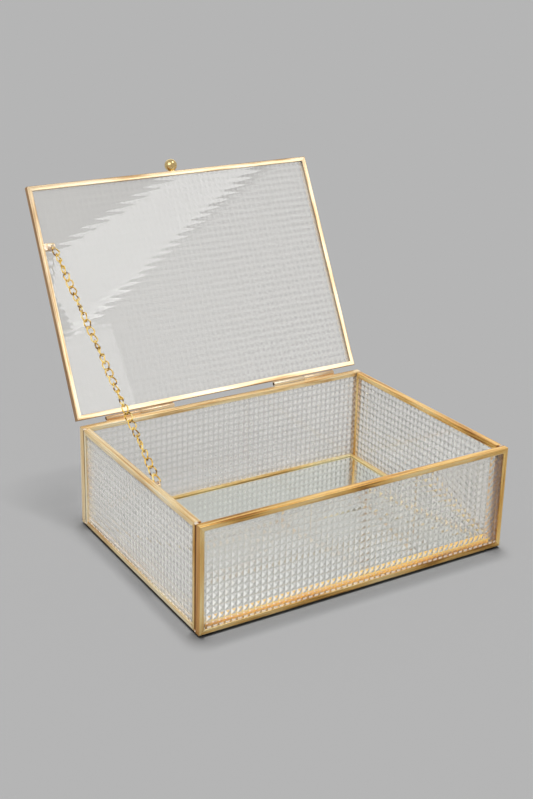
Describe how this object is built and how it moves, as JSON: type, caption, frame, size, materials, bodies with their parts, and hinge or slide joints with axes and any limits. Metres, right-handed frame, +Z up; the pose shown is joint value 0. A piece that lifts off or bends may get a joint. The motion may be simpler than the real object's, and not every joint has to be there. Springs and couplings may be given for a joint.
{
  "type": "glass casket box",
  "caption": "Small rectangular display casket: clear textured panes and a mirror floor in brass strip, with a hinged glass lid, ball knob and lid chain.",
  "frame": {"origin": "middle of the walls' footprint, on the plane the feet stand on", "axes": "+Z up, front of the box towards -Y, +X to the right; the lid is open on its chain"},
  "size_m": [0.21, 0.2315, 0.2095],
  "materials": {
    "wall_brass": "folded brass strip, lightly tarnished, satin",
    "lid_brass": "folded brass strip, brighter, satin",
    "hinge_brass": "drawn brass tube",
    "knob_brass": "polished brass",
    "chain_gilt": "bright gilt wire",
    "textured_glass": "clear pressed glass with rows of small pyramids",
    "mirror": "silvered mirror glass",
    "foot_black": "matt black pad"
  },
  "bodies": {
    "box": {"front_bottom_rail": "wall_brass", "front_top_rail": "wall_brass", "front_left_stile": "wall_brass", "front_right_stile": "wall_brass", "back_bottom_rail": "wall_brass", "back_top_rail": "wall_brass", "back_left_stile": "wall_brass", "back_right_stile": "wall_brass", "left_bottom_rail": "wall_brass", "left_top_rail": "wall_brass", "left_front_stile": "wall_brass", "left_rear_stile": "wall_brass", "right_bottom_rail": "wall_brass", "right_top_rail": "wall_brass", "right_front_stile": "wall_brass", "right_rear_stile": "wall_brass", "front_pane": "textured_glass", "back_pane": "textured_glass", "left_pane": "textured_glass", "right_pane": "textured_glass", "base_front_strip": "wall_brass", "base_rear_strip": "wall_brass", "base_left_strip": "wall_brass", "base_right_strip": "wall_brass", "mirror_floor": "mirror", "left_hinge_box_knuckle": "hinge_brass", "right_hinge_box_knuckle": "hinge_brass", "left_hinge_pin": "hinge_brass", "right_hinge_pin": "hinge_brass", "box_chain_eye": "hinge_brass", "foot_front_left": "foot_black", "foot_front_right": "foot_black", "foot_rear_left": "foot_black", "foot_rear_right": "foot_black"},
    "lid": {"lid_front_strip": "lid_brass", "lid_rear_strip": "lid_brass", "lid_left_strip": "lid_brass", "lid_right_strip": "lid_brass", "lid_pane": "textured_glass", "knob_stud": "hinge_brass", "knob_ball": "knob_brass", "left_hinge_lid_knuckle": "hinge_brass", "right_hinge_lid_knuckle": "hinge_brass", "lid_chain_eye": "hinge_brass"},
    "chain_1": {"chain_run_1": "chain_gilt"},
    "chain_2": {"chain_run_2": "chain_gilt"},
    "chain_3": {"chain_run_3": "chain_gilt"},
    "chain_4": {"chain_run_4": "chain_gilt"},
    "chain_5": {"chain_run_5": "chain_gilt"},
    "chain_6": {"chain_run_6": "chain_gilt"},
    "chain_7": {"chain_run_7": "chain_gilt"},
    "chain_8": {"chain_run_8": "chain_gilt"},
    "chain_9": {"chain_run_9": "chain_gilt"},
    "chain_10": {"chain_run_10": "chain_gilt"},
    "chain_11": {"chain_run_11": "chain_gilt"}
  },
  "joints": [
    {"name": "lid_hinge", "type": "hinge", "parent": "box", "child": "lid", "pos_m": [0, 0.0775, 0.0668], "axis": [1, 0, 0], "range_deg": [0, 117.5]},
    {"name": "chain_pivot_1", "type": "hinge", "parent": "lid", "child": "chain_1", "pos_m": [-0.0968, 0.12641, 0.16704], "axis": [1, 0, 0], "range_deg": [-54, 0]},
    {"name": "chain_pivot_2", "type": "hinge", "parent": "chain_1", "child": "chain_2", "pos_m": [-0.0969, 0.11263, 0.15705], "axis": [1, 0, 0], "range_deg": [-49.4, 0]},
    {"name": "chain_pivot_3", "type": "hinge", "parent": "chain_2", "child": "chain_3", "pos_m": [-0.09699, 0.10079, 0.14847], "axis": [1, 0, 0], "range_deg": [-52.5, 0]},
    {"name": "chain_pivot_4", "type": "hinge", "parent": "chain_3", "child": "chain_4", "pos_m": [-0.09709, 0.087, 0.13848], "axis": [1, 0, 0], "range_deg": [0, 59.7]},
    {"name": "chain_pivot_5", "type": "hinge", "parent": "chain_4", "child": "chain_5", "pos_m": [-0.09718, 0.07516, 0.1299], "axis": [1, 0, 0], "range_deg": [0, 61]},
    {"name": "chain_pivot_6", "type": "hinge", "parent": "chain_5", "child": "chain_6", "pos_m": [-0.09728, 0.06138, 0.11991], "axis": [1, 0, 0], "range_deg": [0, 61.8]},
    {"name": "chain_pivot_7", "type": "hinge", "parent": "chain_6", "child": "chain_7", "pos_m": [-0.09737, 0.04954, 0.11133], "axis": [1, 0, 0], "range_deg": [0, 10]},
    {"name": "chain_pivot_11", "type": "hinge", "parent": "box", "child": "chain_11", "pos_m": [-0.09785, -0.0155, 0.0642], "axis": [1, 0, 0], "range_deg": [-114, 0]},
    {"name": "chain_pivot_10", "type": "hinge", "parent": "chain_11", "child": "chain_10", "pos_m": [-0.09775, -0.00172, 0.07419], "axis": [1, 0, 0], "range_deg": [0, 1.8]},
    {"name": "chain_pivot_9", "type": "hinge", "parent": "chain_10", "child": "chain_9", "pos_m": [-0.09766, 0.01013, 0.08277], "axis": [1, 0, 0], "range_deg": [-25.5, 0]},
    {"name": "chain_pivot_8", "type": "hinge", "parent": "chain_9", "child": "chain_8", "pos_m": [-0.09756, 0.02391, 0.09276], "axis": [1, 0, 0], "range_deg": [-58.2, 0]}
  ],
  "couplings": [
    {"joint": "chain_pivot_1", "follows": "lid_hinge", "ratio": -0.45448},
    {"joint": "chain_pivot_2", "follows": "lid_hinge", "ratio": -0.41573},
    {"joint": "chain_pivot_3", "follows": "lid_hinge", "ratio": -0.44205},
    {"joint": "chain_pivot_4", "follows": "lid_hinge", "ratio": 0.50323},
    {"joint": "chain_pivot_5", "follows": "lid_hinge", "ratio": 0.51405},
    {"joint": "chain_pivot_6", "follows": "lid_hinge", "ratio": 0.52115},
    {"joint": "chain_pivot_7", "follows": "lid_hinge", "ratio": 0.080071},
    {"joint": "chain_pivot_11", "follows": "lid_hinge", "ratio": -0.96562},
    {"joint": "chain_pivot_10", "follows": "lid_hinge", "ratio": 0.01077},
    {"joint": "chain_pivot_9", "follows": "lid_hinge", "ratio": -0.21199},
    {"joint": "chain_pivot_8", "follows": "lid_hinge", "ratio": -0.49035}
  ]
}
